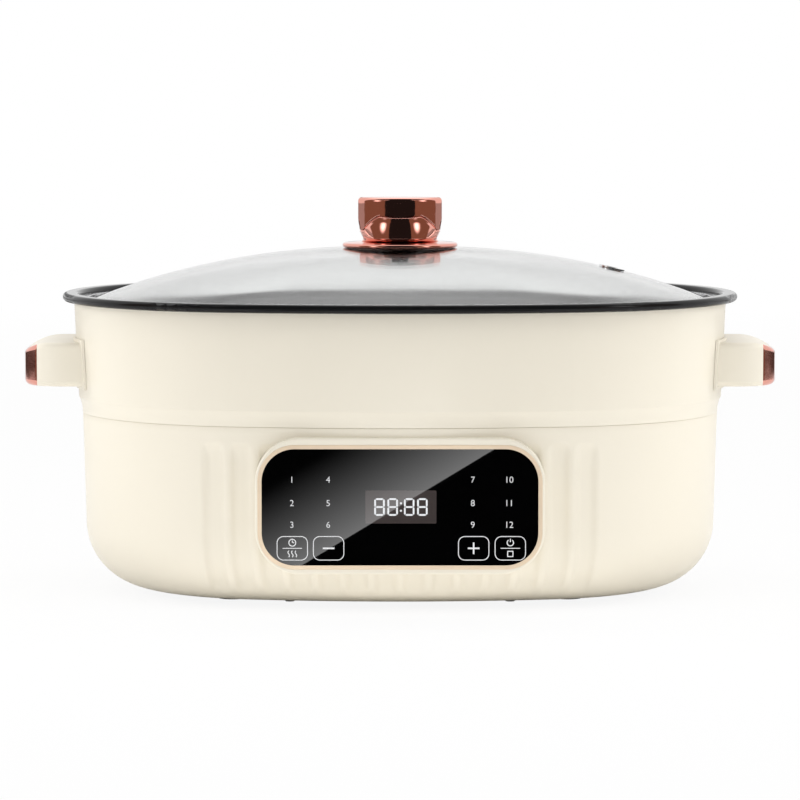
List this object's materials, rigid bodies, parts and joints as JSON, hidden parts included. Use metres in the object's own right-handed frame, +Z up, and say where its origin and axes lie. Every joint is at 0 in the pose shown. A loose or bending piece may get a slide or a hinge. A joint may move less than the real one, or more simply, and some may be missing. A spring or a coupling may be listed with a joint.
{
  "type": "electric hot pot",
  "caption": "Oval electric hot pot: heating base with touch panel, lift-out pot with side handles and a lift-off domed glass lid with a knob.",
  "frame": {"origin": "on the table under the middle of the pot", "axes": "+X to the right along the pot as seen from the front, -Y towards the person at the panel, +Z up"},
  "size_m": [0.4156, 0.257, 0.219],
  "materials": {
    "cream_body": "satin",
    "cream_paint": "satin",
    "handle_cream": "satin",
    "rose_gold": "polished",
    "gold_trim": "satin",
    "black_glass": "gloss",
    "clear_glass": "clear",
    "band_steel": "polished",
    "pot_coating": "non-stick coating",
    "tray_metal": "mill",
    "plate_aluminium": "turned",
    "element_steel": "oxidised",
    "screw_steel": "plated",
    "fuse_case": "ceramic-like",
    "board_green": "solder mask",
    "dark_plastic": "moulded",
    "feet_rubber": "matte",
    "washer_rubber": "matte"
  },
  "bodies": {
    "base": {"base_housing": "cream_body", "bottom_cover": "cream_body", "rubber_feet": "feet_rubber", "bottom_screws": "screw_steel", "heat_tray": "tray_metal", "heating_plate": "plate_aluminium", "heating_element": "element_steel", "plate_posts": "screw_steel", "plate_screws": "screw_steel", "sensor_guide": "tray_metal", "sensor_spring": "screw_steel", "thermal_fuse": "fuse_case", "fuse_clip": "tray_metal", "power_board": "board_green", "board_components": "dark_plastic", "board_screws": "screw_steel", "panel_bezel": "cream_body", "panel_trim": "gold_trim", "panel_glass": "black_glass", "control_board": "board_green", "display_module": "dark_plastic", "touch_springs": "screw_steel", "panel_screws": "screw_steel", "power_inlet": "dark_plastic", "inlet_pins": "screw_steel", "inlet_screws": "screw_steel"},
    "sensor": {"sensor_cap": "plate_aluminium"},
    "pot": {"inner_pot": "pot_coating", "pot_skirt": "cream_paint", "right_flange": "handle_cream", "right_bracket": "tray_metal", "right_handle": "handle_cream", "right_trim": "rose_gold", "right_handle_screws": "screw_steel", "left_flange": "handle_cream", "left_bracket": "tray_metal", "left_handle": "handle_cream", "left_trim": "rose_gold", "left_handle_screws": "screw_steel"},
    "lid": {"lid_glass": "clear_glass", "lid_band": "band_steel", "steam_vent": "band_steel", "knob_plate": "rose_gold", "knob": "rose_gold", "knob_washer": "washer_rubber", "knob_screw": "screw_steel"}
  },
  "joints": [
    {"name": "pot_lift", "type": "slide", "parent": "base", "child": "pot", "axis": [0, 0, 1], "range_m": [0, 0.14]},
    {"name": "lid_lift", "type": "slide", "parent": "pot", "child": "lid", "axis": [0, 0, 1], "range_m": [0, 0.12]},
    {"name": "sensor_press", "type": "slide", "parent": "base", "child": "sensor", "axis": [0, 0, 1], "range_m": [-0.003, 0], "stiffness_N_per_m": 600, "springref_m": 0.003, "deforming": ["sensor_spring"]}
  ]
}
